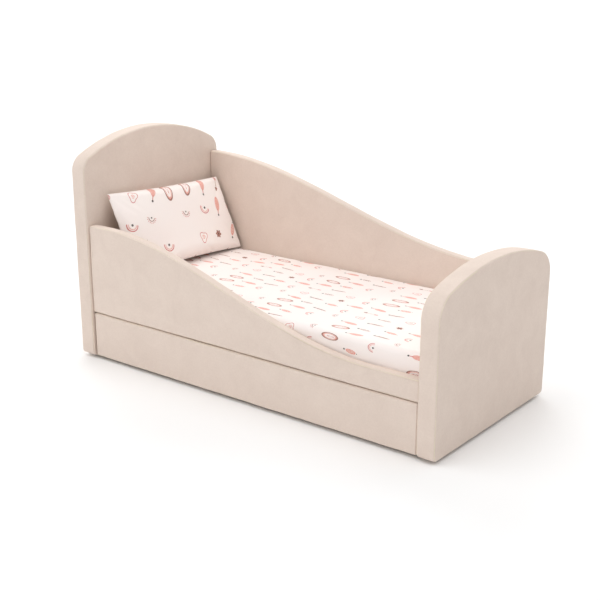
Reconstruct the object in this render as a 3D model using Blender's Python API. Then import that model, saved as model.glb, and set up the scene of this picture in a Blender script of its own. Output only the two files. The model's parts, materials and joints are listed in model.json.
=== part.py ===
"""Toddler bed with two arched upholstered end boards, two swept side rails and a drawer on castors.

Frame: metres, +X from the head to the foot, -Y towards the drawer's side, +Z up.
The origin is the middle of the bed's footprint, on the floor.

Each upholstered panel is built as the real one is: a board core, a layer of foam wrapped over it,
and a velour cover that is open underneath, where it is stapled to the board.
"""

from math import asin, cos, pi, radians, sin, sqrt

import bmesh
import bpy
from mathutils import Matrix

# Driving dimensions, in metres.
SLEEPING_LENGTH = 1.600
SLEEPING_WIDTH = 0.700
MATTRESS_PLAY = 0.003
END_THICKNESS = 0.074
RAIL_THICKNESS = 0.040
RAIL_SETBACK = 0.010
GAP = 0.0003
CUTTER_OVERRUN = 0.020

# Heights above the floor.
FLOOR_CLEARANCE = 0.012
PANEL_LIFT = 0.002
DRAWER_TOP = 0.203
RAIL_BOTTOM = 0.207
SLAT_TOP = 0.245
MATTRESS_TOP = 0.365

# Upholstery layers.
FABRIC = 0.002
END_CORE = 0.036
RAIL_CORE = 0.018
EDGE_ROUNDING = 0.006
ROUNDING_SEGMENTS = 2

# Arched end boards: top of the arch, radius of the arch, radius of its two shoulders.
HEADBOARD = dict(top=0.944, arch=0.810, shoulder=0.075)
FOOTBOARD = dict(top=0.644, arch=1.080, shoulder=0.100)
BOTTOM_CORNER = 0.018

# Swept side rails: the top edge is half a cosine wave from its crest down to a level stretch.
FRONT_RAIL = dict(crest_x=-0.728, level_x=0.608, crest=0.578, level=0.288)
REAR_RAIL = dict(crest_x=-0.795, level_x=0.676, crest=0.790, level=0.497)
SWEEP_STEPS = 26

# Slatted base.
SLAT_COUNT = 10
SLAT_PITCH = 0.160
SLAT_WIDTH = 0.070
SLAT_THICKNESS = 0.012
BATTEN_DEPTH = 0.028
SLAT_END_PLAY = 0.002
SLAT_ROUNDING = 0.002
BRACKET_LEG = 0.036
BRACKET_PLAY = 0.006
STEEL = 0.002

# Drawer.
DRAWER_GAP = 0.004
DRAWER_WIDTH = 1.550
DRAWER_DEPTH = 0.680
DRAWER_BOTTOM = 0.050
DRAWER_SIDE_TOP = 0.182
DRAWER_BOARD = 0.012
DRAWER_PANEL = 0.008

# Castors and glides.
WHEEL_RADIUS = 0.020
WHEEL_WIDTH = 0.018
BORE_RADIUS = 0.0036
AXLE_RADIUS = 0.003
FORK_WIDTH = 0.028
FORK_LENGTH = 0.036
FORK_BELOW_AXLE = 0.009
AXLE_HEAD = 0.003
RIM_CHAMFER = 0.0015
CASTOR_X = 0.700
CASTOR_Y = (-0.290, 0.270)
GLIDE_RADIUS = 0.015
GLIDE_TAPER = 0.002
GLIDE_Y = 0.320

# Bedding.
MATTRESS_ROUNDING = 0.024
SHEET = 0.002
PILLOW = dict(width=0.640, height=0.360, thickness=0.105)
PILLOW_Y = 0.018
PILLOW_FOOT_X = -0.628
PILLOW_LEAN = radians(25.0)
PILLOW_SEAM = 0.006
PILLOW_SIDE_PULL = 0.04
CROWN_POWER = 2.5
MOUTH_REACH = 1.2
CASE_WALL = 0.002
INSERT_PLAY = 0.004

INNER_X = SLEEPING_LENGTH / 2 + MATTRESS_PLAY
OUTER_X = INNER_X + END_THICKNESS
INNER_Y = SLEEPING_WIDTH / 2
RAIL_OUTER_Y = INNER_Y + RAIL_THICKNESS
OUTER_Y = RAIL_OUTER_Y + RAIL_SETBACK


def clear_scene():
    for item in list(bpy.data.objects):
        bpy.data.objects.remove(item, do_unlink=True)


def make_material(name, color, roughness, metallic=0.0):
    material = bpy.data.materials.new(name)
    material.use_nodes = True
    shader = material.node_tree.nodes["Principled BSDF"]
    shader.inputs["Base Color"].default_value = (*color, 1.0)
    shader.inputs["Roughness"].default_value = roughness
    shader.inputs["Metallic"].default_value = metallic
    return material


def add_object(name, mesh, material, location=(0, 0, 0), parent=None):
    item = bpy.data.objects.new(name, mesh)
    bpy.context.scene.collection.objects.link(item)
    if not mesh.materials:
        mesh.materials.append(material)
    item.location = location
    item.parent = parent
    return item


def mesh_from(name, builder):
    """A mesh whose faces point outwards, filled in by builder(bm)."""
    bm = bmesh.new()
    builder(bm)
    bmesh.ops.recalc_face_normals(bm, faces=bm.faces)
    mesh = bpy.data.meshes.new(name)
    bm.to_mesh(mesh)
    bm.free()
    return mesh


def prism_mesh(name, outline, axis, low, high):
    """An outline of (a, b) points pushed along one axis: (Y, Z) for axis X, (X, Z) for axis Y."""

    def build(bm):
        rings = []
        for depth in (low, high):
            if axis == "X":
                points = [(depth, a, b) for a, b in outline]
            else:
                points = [(a, depth, b) for a, b in outline]
            rings.append([bm.verts.new(point) for point in points])
        count = len(outline)
        for ring in rings:
            bm.faces.new(ring)
        for i in range(count):
            j = (i + 1) % count
            bm.faces.new((rings[0][i], rings[0][j], rings[1][j], rings[1][i]))

    return mesh_from(name, build)


def box_mesh(name, low, high):
    def build(bm):
        size = [h - l for l, h in zip(low, high)]
        middle = [(h + l) / 2 for l, h in zip(low, high)]
        bmesh.ops.create_cube(bm, size=1.0, matrix=Matrix.Translation(middle) @ Matrix.Diagonal((*size, 1.0)))

    return mesh_from(name, build)


def round_edges(item, width, segments=ROUNDING_SEGMENTS):
    bevel = item.modifiers.new("Rounded edges", "BEVEL")
    bevel.width = width
    bevel.segments = segments
    bevel.limit_method = "ANGLE"
    bevel.angle_limit = radians(50)


def cut(item, cutter):
    """Takes the cutter's shape out of the item. The cutter itself is only a guide."""
    cutter.hide_render = True
    cutter.display_type = "WIRE"
    boolean = item.modifiers.new("Hollow", "BOOLEAN")
    boolean.operation = "DIFFERENCE"
    boolean.solver = "EXACT"
    boolean.object = cutter


def arc(centre, radius, start, end, steps):
    """Points on a circle from one angle to another, both ends included."""
    angles = [start + (end - start) * i / steps for i in range(steps + 1)]
    return [(centre[0] + radius * cos(a), centre[1] + radius * sin(a)) for a in angles]


def arch_outline(board, inset=0.0, base="rounded", bottom=FLOOR_CLEARANCE):
    """Outline in (Y, Z) of an arched board: one wide arc on top, met by two shoulder arcs.

    The shoulder circle touches the side and lies inside the arch circle, so both meet smoothly.
    A rounded base has the board's bottom corners, a mouth opens between them down to the bottom,
    and a square base goes straight down to it.
    """
    half = OUTER_Y - inset
    top = board["top"] - inset
    arch_radius = board["arch"] - inset
    shoulder = board["shoulder"] - inset
    arch_z = top - arch_radius
    shoulder_y = half - shoulder
    meeting = asin(shoulder_y / (arch_radius - shoulder))
    shoulder_z = arch_z + sqrt((arch_radius - shoulder) ** 2 - shoulder_y**2)
    right = arc((shoulder_y, shoulder_z), shoulder, 0, pi / 2 - meeting, 7)
    crown = arc((0, arch_z), arch_radius, pi / 2 - meeting, pi / 2 + meeting, 20)
    left = [(-y, z) for y, z in reversed(right)]
    if base == "square":
        return right + crown[1:-1] + left + [(-half, bottom), (half, bottom)]
    corner_y, corner_z = OUTER_Y - BOTTOM_CORNER, FLOOR_CLEARANCE + BOTTOM_CORNER
    radius = BOTTOM_CORNER - inset
    left_corner = arc((-corner_y, corner_z), radius, pi, 1.5 * pi, 4)
    right_corner = arc((corner_y, corner_z), radius, 1.5 * pi, 2 * pi, 4)
    mouth = [(-corner_y, bottom), (corner_y, bottom)] if base == "mouth" else []
    return right + crown[1:-1] + left + left_corner + mouth + right_corner


def sweep_height(rail, x):
    """Height of a swept rail's top edge: a cosine from crest to level, level after that."""
    phase = min((x - rail["crest_x"]) / (rail["level_x"] - rail["crest_x"]), 1.0)
    return rail["level"] + (rail["crest"] - rail["level"]) * (1 + cos(pi * phase)) / 2


def sweep_slope(rail, x):
    run = rail["level_x"] - rail["crest_x"]
    phase = min((x - rail["crest_x"]) / run, 1.0)
    return (rail["crest"] - rail["level"]) * pi / (2 * run) * sin(pi * phase)


def sweep_outline(rail, bottom, top_inset=0.0, end_inset=0.0):
    """Outline in (X, Z) of a swept rail, lowered square to its top edge by top_inset."""
    half = INNER_X - GAP - end_inset
    steps = [-half + (rail["level_x"] + half) * i / SWEEP_STEPS for i in range(SWEEP_STEPS + 1)]
    steps.append(half)
    top = [(x, sweep_height(rail, x) - top_inset * sqrt(1 + sweep_slope(rail, x) ** 2)) for x in steps]
    return top + [(half, bottom), (-half, bottom)]


def straight_outline(half, bottom, top, inset=0.0, end_inset=0.0):
    half = half - end_inset
    return [(-half, bottom), (half, bottom), (half, top - inset), (-half, top - inset)]


def upholstered_panel(name, outline, axis, outer, inner, core_thickness, bottom, parent=None):
    """A velour cover, a foam wrap and a board core, one inside the other, all open underneath.

    outline(inset, end_inset, base, bottom) gives the outline at a depth inside the panel's outer skin.
    The inset at a rail's ends is deeper, so that the cover's rounded corners keep their thickness there.
    Foam and core stop just above the cover's lower edge, which is turned in below them.
    """
    low, high = min(outer, inner), max(outer, inner)
    foam = (high - low - core_thickness) / 2 - FABRIC - 2 * GAP
    foam_depth = FABRIC + GAP
    hollow_depth = foam_depth + foam
    core_depth = hollow_depth + GAP
    end_depth = EDGE_ROUNDING + GAP
    raised, below = bottom + foam_depth, bottom - CUTTER_OVERRUN

    def layer(suffix, depth, end_inset, base, base_height, material):
        points = outline(depth, end_inset, base, base_height)
        mesh = prism_mesh(name + suffix, points, axis, low + depth, high - depth)
        return add_object(name + suffix, mesh, material, parent=parent)

    cover = layer("_cover", 0.0, 0.0, "rounded", bottom, VELOUR)
    round_edges(cover, EDGE_ROUNDING)
    cut(cover, layer("_cover_hollow", FABRIC, EDGE_ROUNDING, "mouth", below, VELOUR))
    wrap = layer("_foam", foam_depth, end_depth, "rounded", raised, FOAM)
    cut(wrap, layer("_foam_hollow", hollow_depth, end_depth + FABRIC, "square", below, FOAM))
    layer("_core", core_depth, end_depth + FABRIC + GAP, "square", raised, BOARD)


def make_end_board(name, board, side):
    def outline(depth, _, base, bottom):
        return arch_outline(board, depth, base, bottom)

    outer, inner = side * OUTER_X, side * INNER_X
    upholstered_panel(name, outline, "X", outer, inner, END_CORE, FLOOR_CLEARANCE)


def make_side_rail(name, rail, side, bottom):
    def outline(depth, end_inset, _, base):
        return sweep_outline(rail, base, depth, end_inset)

    upholstered_panel(name, outline, "Y", side * RAIL_OUTER_Y, side * INNER_Y, RAIL_CORE, bottom)


def make_slatted_base():
    batten_top = SLAT_TOP - SLAT_THICKNESS - GAP
    ledger_half = INNER_X - BRACKET_LEG - BRACKET_PLAY
    inside_y = INNER_Y - GAP
    inside_x = INNER_X - GAP
    for name, side in (("front_ledger", -1), ("rear_ledger", 1)):
        edges = sorted((side * inside_y, side * (inside_y - BATTEN_DEPTH)))
        mesh = box_mesh(name, (-ledger_half, edges[0], RAIL_BOTTOM), (ledger_half, edges[1], batten_top))
        add_object(name, mesh, PINE)
    batten_half = INNER_Y - BRACKET_LEG - BRACKET_PLAY
    for name, side in (("head_batten", -1), ("foot_batten", 1)):
        edges = sorted((side * inside_x, side * (inside_x - BATTEN_DEPTH)))
        mesh = box_mesh(name, (edges[0], -batten_half, RAIL_BOTTOM), (edges[1], batten_half, batten_top))
        add_object(name, mesh, PINE)
    slat_half = INNER_Y - SLAT_END_PLAY
    slat = box_mesh("slat", (-SLAT_WIDTH / 2, -slat_half, 0), (SLAT_WIDTH / 2, slat_half, SLAT_THICKNESS))
    for i in range(SLAT_COUNT):
        x = (i - (SLAT_COUNT - 1) / 2) * SLAT_PITCH
        item = add_object(f"slat_{i + 1:02d}", slat, BIRCH, (x, 0, SLAT_TOP - SLAT_THICKNESS))
        round_edges(item, SLAT_ROUNDING, 1)
    for end, sx in (("head", -1), ("foot", 1)):
        for face, sy in (("front", -1), ("rear", 1)):
            make_bracket(f"bracket_{end}_{face}", sx, sy, batten_top)


def make_bracket(name, sx, sy, top):
    """A steel angle standing in an inner corner, one leg on the rail and one on the end board."""
    x0, y0 = INNER_X - GAP, INNER_Y - GAP
    leg = BRACKET_LEG
    plan = [(x0, y0), (x0, y0 - leg), (x0 - STEEL, y0 - leg), (x0 - STEEL, y0 - STEEL)]
    plan += [(x0 - leg, y0 - STEEL), (x0 - leg, y0)]

    def build(bm):
        rings = [[bm.verts.new((sx * x, sy * y, z)) for x, y in plan] for z in (RAIL_BOTTOM, top)]
        for ring in rings:
            bm.faces.new(ring)
        for i in range(len(plan)):
            j = (i + 1) % len(plan)
            bm.faces.new((rings[0][i], rings[0][j], rings[1][j], rings[1][i]))

    add_object(name, mesh_from(name, build), ZINC)


def make_drawer(parent):
    front_half = INNER_X - DRAWER_GAP
    front_bottom = FLOOR_CLEARANCE + PANEL_LIFT

    def outline(depth, end_inset, _, bottom):
        return straight_outline(front_half, bottom, DRAWER_TOP, depth, end_inset)

    upholstered_panel("drawer_front", outline, "Y", -RAIL_OUTER_Y, -INNER_Y, RAIL_CORE, front_bottom, parent)
    half = DRAWER_WIDTH / 2
    front_y = -INNER_Y + GAP
    back_y = front_y + DRAWER_DEPTH
    for name, side in (("drawer_left_side", -1), ("drawer_right_side", 1)):
        edges = sorted((side * half, side * (half - DRAWER_BOARD)))
        low, high = (edges[0], front_y, DRAWER_BOTTOM), (edges[1], back_y, DRAWER_SIDE_TOP)
        add_object(name, box_mesh(name, low, high), BIRCH, parent=parent)
    inside = half - DRAWER_BOARD - GAP
    low, high = (-inside, back_y - DRAWER_BOARD, DRAWER_BOTTOM), (inside, back_y, DRAWER_SIDE_TOP)
    add_object("drawer_back", box_mesh("drawer_back", low, high), BIRCH, parent=parent)
    low = (-inside, front_y, DRAWER_BOTTOM)
    high = (inside, back_y - DRAWER_BOARD - GAP, DRAWER_BOTTOM + DRAWER_PANEL)
    add_object("drawer_bottom", box_mesh("drawer_bottom", low, high), BIRCH, parent=parent)


def fork_mesh():
    """An inverted steel channel with an axle hole through both cheeks."""
    half, top = FORK_WIDTH / 2, DRAWER_BOTTOM - GAP - WHEEL_RADIUS
    foot = -FORK_BELOW_AXLE
    profile = [(-half, foot), (-half + STEEL, foot), (-half + STEEL, top - STEEL), (half - STEEL, top - STEEL)]
    profile += [(half - STEEL, foot), (half, foot), (half, top), (-half, top)]
    return prism_mesh("castor_fork", profile, "Y", -FORK_LENGTH / 2, FORK_LENGTH / 2)


def tube_mesh(name, radius, bore, length, segments):
    """A wheel or a pin about the X axis, centred on the origin, with its rim corners chamfered."""
    chamfer = min(RIM_CHAMFER, radius / 4)
    side = [(bore, -length / 2), (radius - chamfer, -length / 2), (radius, -length / 2 + chamfer)]
    side += [(radius, length / 2 - chamfer), (radius - chamfer, length / 2), (bore, length / 2)]

    def build(bm):
        rings = []
        for i in range(segments):
            a = 2 * pi * i / segments - pi / 2
            rings.append([bm.verts.new((x, r * cos(a), r * sin(a))) for r, x in side])
        for i in range(segments):
            ring, following = rings[i], rings[(i + 1) % segments]
            for j in range(len(side) if bore else len(side) - 1):
                k = (j + 1) % len(side)
                corners = (ring[j], ring[k], following[k], following[j])
                bm.faces.new(corners)
        bmesh.ops.remove_doubles(bm, verts=bm.verts, dist=1e-6)

    return mesh_from(name, build)


def make_castors(parent):
    fork, wheel = fork_mesh(), tube_mesh("castor_wheel", WHEEL_RADIUS, BORE_RADIUS, WHEEL_WIDTH, 32)
    axle = tube_mesh("castor_axle", AXLE_RADIUS, 0.0, FORK_WIDTH + 2 * AXLE_HEAD, 16)
    drill = tube_mesh("axle_hole", AXLE_RADIUS + 2 * GAP, 0.0, FORK_WIDTH + CUTTER_OVERRUN, 16)
    places = [(sx, y) for y in CASTOR_Y for sx in (-1, 1)]
    for number, (sx, y) in enumerate(places, start=1):
        place = (sx * CASTOR_X, y, WHEEL_RADIUS)
        item = add_object(f"castor_{number}_fork", fork, ZINC, place, parent)
        cut(item, add_object(f"castor_{number}_axle_hole", drill, ZINC, place, parent))
        add_object(f"castor_{number}_axle", axle, ZINC, place, parent)
        turning = add_object(f"castor_{number}_wheel", wheel, TREAD, place, parent)
        turning.data.shade_smooth()
        turning.data.set_sharp_from_angle(angle=radians(30))


def make_glides():
    top = FLOOR_CLEARANCE - GAP

    def build(bm):
        bmesh.ops.create_cone(bm, cap_ends=True, segments=24, radius1=GLIDE_RADIUS - GLIDE_TAPER,
                              radius2=GLIDE_RADIUS, depth=top, matrix=Matrix.Translation((0, 0, top / 2)))

    glide = mesh_from("glide", build)
    middle = (INNER_X + OUTER_X) / 2
    for end, sx in (("head", -1), ("foot", 1)):
        for face, sy in (("front", -1), ("rear", 1)):
            add_object(f"glide_{end}_{face}", glide, TREAD, (sx * middle, sy * GLIDE_Y, 0))


def bedding_box(name, grow, bottom, rounding, material):
    """The mattress block, grown on its sides and top. Its rounded edges stop short of its underside."""
    half_x = INNER_X - MATTRESS_PLAY - SHEET - GAP + grow
    half_y = INNER_Y - MATTRESS_PLAY / 2 - SHEET - GAP + grow
    top = MATTRESS_TOP - SHEET - GAP + grow
    item = add_object(name, box_mesh(name, (-half_x, -half_y, bottom), (half_x, half_y, top)), material)
    round_edges(item, rounding, 3)
    return item


def make_mattress():
    bottom = SLAT_TOP + GAP
    bedding_box("mattress", 0.0, bottom, MATTRESS_ROUNDING, TICKING)
    sheet = bedding_box("fitted_sheet", SHEET + GAP, bottom, MATTRESS_ROUNDING, COTTON)
    cut(sheet, bedding_box("fitted_sheet_hollow", GAP, bottom - 3 * CUTTER_OVERRUN, MATTRESS_ROUNDING, COTTON))


def cushion_mesh(name, width, height, thickness, open_end=False):
    """A pillow lying in XY: two crowned faces that meet in a thin seam, sides drawn in between corners.

    Half thickness is seam/2 plus a crown of sqrt((1 - |u|^power)(1 - |v|^power)) for u and v from -1 to 1.
    An open end carries the +X seam straight on, which makes a cutter for a pillowcase's mouth.
    """
    columns, rows = 14, 10
    us = [-1 + 2 * i / columns for i in range(columns + 1)] + [MOUTH_REACH] * open_end
    vs = [-1 + 2 * j / rows for j in range(rows + 1)]
    edge = PILLOW_SEAM / 2

    def point(u, v, face):
        x = width / 2 * u * (1 - PILLOW_SIDE_PULL * (1 - v * v))
        y = height / 2 * v * (1 - PILLOW_SIDE_PULL * (1 - min(u * u, 1)))
        fullness = (1 - abs(u) ** CROWN_POWER) * (1 - abs(v) ** CROWN_POWER)
        crown = sqrt(max(fullness, 0.0)) if abs(u) < 1 else 0.0
        return x, y, face * (edge + (thickness / 2 - edge) * crown)

    def build(bm):
        sheets = [[[bm.verts.new(point(u, v, face)) for v in vs] for u in us] for face in (1, -1)]
        last_u, last_v = len(us) - 1, rows
        for grid in sheets:
            for i in range(last_u):
                for j in range(last_v):
                    a, b, c, d = grid[i][j], grid[i + 1][j], grid[i + 1][j + 1], grid[i][j + 1]
                    outward = (2 * i + 1 - columns) * (2 * j + 1 - rows) >= 0
                    for corners in ((a, b, c), (a, c, d)) if outward else ((a, b, d), (b, c, d)):
                        bm.faces.new(corners)
        rim = [(i, 0) for i in range(last_u)] + [(last_u, j) for j in range(last_v)]
        rim += [(i, last_v) for i in range(last_u, 0, -1)] + [(0, j) for j in range(last_v, 0, -1)]
        for (i, j), (k, m) in zip(rim, rim[1:] + rim[:1]):
            bm.faces.new((sheets[0][i][j], sheets[0][k][m], sheets[1][k][m], sheets[1][i][j]))

    return mesh_from(name, build)


def make_pillow():
    """The pillow leans on the headboard, its width across the bed and its lower seam on the sheet."""
    width, height, thickness = PILLOW["width"], PILLOW["height"], PILLOW["thickness"]
    foot_z = MATTRESS_TOP + PILLOW_SEAM
    lean = Matrix.Rotation(-PILLOW_LEAN, 4, "Y") @ Matrix.Rotation(pi / 2, 4, "Y") @ Matrix.Rotation(pi / 2, 4, "Z")
    up = (-sin(PILLOW_LEAN), 0, cos(PILLOW_LEAN))
    centre = (PILLOW_FOOT_X + up[0] * height / 2, PILLOW_Y, foot_z + up[2] * height / 2)
    place = Matrix.Translation(centre) @ lean

    def add(name, mesh, material):
        item = add_object(name, mesh, material)
        item.matrix_world = place
        return item

    case = add("pillowcase", cushion_mesh("pillowcase", width, height, thickness), COTTON)
    inside = [side - 2 * CASE_WALL - PILLOW_SEAM for side in (width, height)]
    hollow = cushion_mesh("pillowcase_hollow", *inside, thickness - 2 * CASE_WALL, open_end=True)
    cut(case, add("pillowcase_hollow", hollow, COTTON))
    loose = [side - 2 * INSERT_PLAY for side in inside]
    insert = cushion_mesh("pillow_insert", *loose, thickness - 2 * CASE_WALL - 2 * INSERT_PLAY)
    add("pillow_insert", insert, FILLING)


clear_scene()
VELOUR = make_material("velour", (0.730, 0.624, 0.558), 0.85)
FOAM = make_material("foam", (0.86, 0.83, 0.70), 0.95)
BOARD = make_material("particle_board", (0.62, 0.47, 0.31), 0.75)
PINE = make_material("pine", (0.76, 0.58, 0.36), 0.60)
BIRCH = make_material("birch_plywood", (0.80, 0.66, 0.46), 0.55)
ZINC = make_material("zinc_plated_steel", (0.70, 0.71, 0.72), 0.35, 1.0)
TREAD = make_material("grey_plastic", (0.12, 0.12, 0.13), 0.50)
TICKING = make_material("mattress_ticking", (0.90, 0.89, 0.87), 0.85)
COTTON = make_material("printed_cotton", (0.91, 0.83, 0.80), 0.80)
FILLING = make_material("pillow_filling", (0.93, 0.92, 0.90), 0.90)

make_end_board("headboard", HEADBOARD, -1)
make_end_board("footboard", FOOTBOARD, 1)
make_side_rail("front_rail", FRONT_RAIL, -1, RAIL_BOTTOM)
make_side_rail("rear_rail", REAR_RAIL, 1, FLOOR_CLEARANCE + PANEL_LIFT)
make_slatted_base()
make_mattress()
make_pillow()
make_glides()
drawer = bpy.data.objects.new("drawer_slide", None)
bpy.context.scene.collection.objects.link(drawer)
make_drawer(drawer)
make_castors(drawer)
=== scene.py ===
"""Looks of the toddler bed: velour upholstery, printed bedding, drawer woodwork, castors and a plain studio.

Metres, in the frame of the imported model: +X from the head to the foot, -Y towards the drawer's side, +Z up.
"""
import json
from math import asin, cos, pi, radians, sin, sqrt

import bpy
import numpy as np
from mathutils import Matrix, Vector


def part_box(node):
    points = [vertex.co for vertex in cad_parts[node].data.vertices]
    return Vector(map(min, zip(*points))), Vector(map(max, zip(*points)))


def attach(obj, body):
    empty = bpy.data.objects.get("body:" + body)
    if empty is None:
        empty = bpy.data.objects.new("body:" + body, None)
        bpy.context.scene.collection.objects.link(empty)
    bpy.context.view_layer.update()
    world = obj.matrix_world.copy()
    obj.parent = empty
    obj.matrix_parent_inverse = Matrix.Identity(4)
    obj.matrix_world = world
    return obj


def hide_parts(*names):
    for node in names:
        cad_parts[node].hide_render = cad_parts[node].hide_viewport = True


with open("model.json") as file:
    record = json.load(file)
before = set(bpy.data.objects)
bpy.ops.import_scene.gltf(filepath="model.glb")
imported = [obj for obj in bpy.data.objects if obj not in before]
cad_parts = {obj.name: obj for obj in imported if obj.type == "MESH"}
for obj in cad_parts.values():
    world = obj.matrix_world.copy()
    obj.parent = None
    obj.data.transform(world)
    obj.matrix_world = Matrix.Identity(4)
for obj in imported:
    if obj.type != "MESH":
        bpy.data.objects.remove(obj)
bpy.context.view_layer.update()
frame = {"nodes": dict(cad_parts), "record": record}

# Camera, and the studio's even sky.
CAMERA_PLACE = (2.561, -3.272, 1.619)
CAMERA_YAW = radians(38.12)
CAMERA_PITCH = radians(17.39)
FOCAL_LENGTH = 65.2
SKY = 0.30
# Six large softboxes: where each shines from, and how bright it makes a white board that faces it.
SOFTBOX_SPREAD = radians(50)
SOFTBOXES = {
    "above_head_front": ((-0.7, -0.7, 1.2), 0.285),
    "low_head_rear": ((-0.7, 0.7, 0.35), 0.463),
    "low_front": ((0.0, -1.0, 0.35), 0.125),
    "above_foot": ((1.0, 0.0, 1.5), 0.200),
    "above_rear": ((0.0, 1.0, 1.2), 0.146),
    "overhead": ((0.0, 0.0, 1.0), 0.165),
}
# A soft spot high over the bed that lights the pillow: its place, what it looks at, its power in watts,
# the radius of its lamp and the angle of its cone.
SPOT_PLACE, SPOT_TARGET = Vector((-0.10, 0.0, 2.4)), Vector((-0.70, 0.0, 0.55))
SPOT_POWER, SPOT_RADIUS, SPOT_CONE = 23.0, 0.3, radians(45)
# Half the side of the floor, far enough for its edge to look like a horizon.
FLOOR_REACH = 150.0

# Upholstery: radius of a padded edge, and the valley that the seam pulls into it.
EDGE = 0.0065
SEAM_DEPTH = 0.0011
SEAM_SPREAD = radians(15)
# How far the foam swells on the band between the edges, on an outer face and on an inner one, and how far
# inside its rim a face has swollen. Then the spacing of the panels' mesh.
BAND_SWELL = 0.0008
FACE_SWELL = 0.0022
FACE_SWELL_INSIDE = 0.0006
SWELL_REACH = 0.085
PANEL_SPACING = 0.009

# Arched end boards: radius of the arch, of its shoulders and of the bottom corners.
HEADBOARD_ARCH, HEADBOARD_SHOULDER = 0.810, 0.075
FOOTBOARD_ARCH, FOOTBOARD_SHOULDER = 1.080, 0.100
BOTTOM_CORNER = 0.018
RAIL_CORNER = 0.008

# Swept rails: where the half cosine starts and ends along X.
FRONT_SWEEP = dict(crest_x=-0.728, level_x=0.608, crest=0.578, level=0.288)
REAR_SWEEP = dict(crest_x=-0.795, level_x=0.676, crest=0.790, level=0.497)

# Sheet: its rounded edge, its corners, the spacing of its mesh, how far its relief may dip or stand proud, and
# how far it may reach past the ends of its solid.
SHEET_ROUNDING = 0.024
SHEET_CORNER = 0.030
SHEET_SPACING = 0.008
SHEET_DIP, SHEET_RISE = -0.0013, 0.0006
SHEET_END_ROOM = 0.0012
# Its pulls at each corner: how many, how high, where they start and how far they reach.
PULL_COUNT, PULL_HEIGHT, PULL_START, PULL_REACH = 9, 0.0012, 0.03, 0.09
# Its gathers at the elastic hem: how high up they go, how deep they are, and one every 21 mm.
HEM_REACH, HEM_DEPTH, HEM_GATHER = 0.045, 0.0011, 0.021

# Mattress: its gap to the sheet, the spacing of its mesh, and how far its faces are set in. Its quilting:
# the step between stitch lines along an edge, the spread of a valley as a sine, and its depth.
SHEET_CLEARANCE = 0.0025
MATTRESS_SPACING = 0.010
MATTRESS_SET_IN = 0.0006
QUILT_STEP, QUILT_SPREAD, QUILT_DEPTH = 0.127, 0.16, 0.0028

# Pillow: cut size, spacing of its cloth grid, how far its two sides start apart, final thickness and lean.
PILLOW_WIDTH, PILLOW_HEIGHT = 0.644, 0.364
PILLOW_STEP = 0.0065
PILLOW_PARTING = 0.012
PILLOW_THICKNESS = 0.105
PILLOW_LEAN = radians(25)
# Where it stands along X, its height over the mattress, and how far its wall end has sunk and slid.
PILLOW_FOOT_X, PILLOW_LIFT = -0.628, 0.008
PILLOW_SLUMP, PILLOW_SLIDE = 0.022, 0.016
# How long it is blown up, and how hard.
PILLOW_FRAMES, PILLOW_PRESSURE = 25, 1.0


# ---------------------------------------------------------------- mesh helpers

def new_piece(name, points, faces, body, material, uv=None):
    """A smooth-shaded mesh object at the origin, from an array of points and an array of quads or triangles."""
    mesh = bpy.data.meshes.new(name)
    mesh.from_pydata(points.tolist(), [], faces.tolist())
    mesh.polygons.foreach_set("use_smooth", np.ones(len(mesh.polygons), bool))
    if uv is not None:
        corner = np.empty(len(mesh.loops), np.int32)
        mesh.loops.foreach_get("vertex_index", corner)
        mesh.uv_layers.new(name="cloth").data.foreach_set("uv", uv[corner].astype(np.float32).ravel())
    mesh.materials.append(material)
    item = bpy.data.objects.new(name, mesh)
    bpy.context.scene.collection.objects.link(item)
    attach(item, body)
    return item


def arc(centre, radius, start, end, steps=24):
    """Points at equal angles on a circle, both ends included."""
    angles = np.linspace(start, end, steps + 1)
    return np.column_stack([centre[0] + radius * np.cos(angles), centre[1] + radius * np.sin(angles)])


def straight(start, end, steps=60):
    """Points at equal distances on a straight line, both ends included."""
    t = np.linspace(0, 1, steps + 1)[:, None]
    return np.array(start) * (1 - t) + np.array(end) * t


def lengths_along(line):
    """How far each point of a line lies from its start, along the line."""
    return np.concatenate([[0], np.cumsum(np.hypot(*np.diff(line, axis=0).T))])


def trimmed(line, from_start, from_end):
    """The line without its first and last stretch."""
    s = lengths_along(line)
    keep = np.concatenate([[from_start], s[(s > from_start) & (s < s[-1] - from_end)], [s[-1] - from_end]])
    return np.column_stack([np.interp(keep, s, line[:, 0]), np.interp(keep, s, line[:, 1])])


def rounded_sides(sides, radius):
    """Four lines round a face, counterclockwise, with an arc of that radius at each corner.

    Where two lines turn by an angle, each is cut back by radius times the tangent of half the angle.
    Each returned line runs from the middle of one arc to the middle of the next.
    """
    count = len(sides)
    turns, cuts = [], []
    for i in range(count):
        a, b = sides[i - 1], sides[i]
        heading_a = np.arctan2(*(a[-1] - a[-2])[::-1])
        heading_b = np.arctan2(*(b[1] - b[0])[::-1])
        turn = (heading_b - heading_a + pi) % (2 * pi) - pi
        turns.append((heading_a, turn))
        cuts.append(radius * np.tan(abs(turn) / 2))
    short = [trimmed(sides[i], cuts[i], cuts[(i + 1) % count]) for i in range(count)]
    halves = []
    for i, (heading, turn) in enumerate(turns):
        start = short[i - 1][-1]
        centre = start + radius * np.array([-sin(heading), cos(heading)])
        whole = arc(centre, radius, heading - pi / 2, heading - pi / 2 + turn, 16)
        halves.append((whole[:9], whole[8:]))
    return [np.vstack([halves[i][1], short[i][1:-1], halves[(i + 1) % count][0]]) for i in range(count)]


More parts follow.
